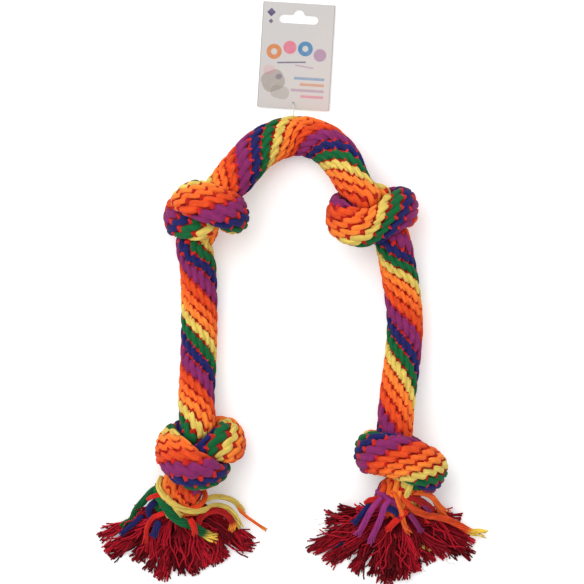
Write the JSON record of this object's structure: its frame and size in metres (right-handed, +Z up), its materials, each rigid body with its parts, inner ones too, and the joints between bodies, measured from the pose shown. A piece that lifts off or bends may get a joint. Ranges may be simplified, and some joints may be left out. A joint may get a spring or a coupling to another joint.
{
  "type": "knotted rope dog toy",
  "caption": "Knotted rope dog toy: one thick multicoloured rope bent into an arch with overhand knots, frayed tassel ends and a folded hanging card on a tag pin.",
  "frame": {"origin": "on the floor, at the middle of the flat rest under the top of the arch", "axes": "the toy lies flat on a floor: +Z is up, +Y runs from the tassels past the arch to the header card, +X to the right seen from above"},
  "size_m": [0.3069, 0.4668, 0.071],
  "materials": {
    "rope": "twisted cotton, laid in eight coloured strands",
    "crimson_yarn": "frayed cotton yarn",
    "green_strand": "two-ply cotton",
    "yellow_strand": "two-ply cotton",
    "red_strand": "two-ply cotton",
    "purple_strand": "two-ply cotton",
    "orange_strand": "two-ply cotton",
    "card": "stands for uncoated paperboard",
    "nylon": "clear nylon"
  },
  "bodies": {
    "arch": {"arch_rope": "rope", "upper_left_knot": "rope", "upper_right_knot": "rope"},
    "left_leg": {"left_leg_rope": "rope", "lower_left_knot": "rope"},
    "left_tassel": {"left_tassel_yarn": "crimson_yarn", "left_strand_green_long": "green_strand", "left_strand_green_front": "green_strand", "left_strand_yellow_low": "yellow_strand", "left_strand_yellow_high": "yellow_strand", "left_strand_red": "red_strand"},
    "right_leg": {"right_leg_rope": "rope", "lower_right_knot": "rope"},
    "right_tassel": {"right_tassel_yarn": "crimson_yarn", "right_strand_purple_left": "purple_strand", "right_strand_purple_right": "purple_strand", "right_strand_orange_down": "orange_strand", "right_strand_orange_out": "orange_strand", "right_strand_orange_top": "orange_strand"},
    "card": {"header_card": "card", "tag_pin": "nylon"}
  },
  "joints": [
    {"name": "left_leg_swing", "type": "hinge", "parent": "arch", "child": "left_leg", "pos_m": [-0.077, -0.104, 0.02], "axis": [0, 0, -1], "range_deg": [-2, 40]},
    {"name": "right_leg_swing", "type": "hinge", "parent": "arch", "child": "right_leg", "pos_m": [0.083, -0.104, 0.021], "axis": [0, 0, 1], "range_deg": [-2, 40]},
    {"name": "left_tassel_swing", "type": "hinge", "parent": "left_leg", "child": "left_tassel", "pos_m": [-0.092, -0.288, 0.021], "axis": [0, 0, -1], "range_deg": [-6, 8]},
    {"name": "right_tassel_swing", "type": "hinge", "parent": "right_leg", "child": "right_tassel", "pos_m": [0.082, -0.291, 0.02], "axis": [0, 0, 1], "range_deg": [-6, 8]},
    {"name": "card_lift", "type": "hinge", "parent": "arch", "child": "card", "pos_m": [-0.0005, 0.0145, 0.0132], "axis": [1, 0, 0], "range_deg": [0, 115]}
  ]
}
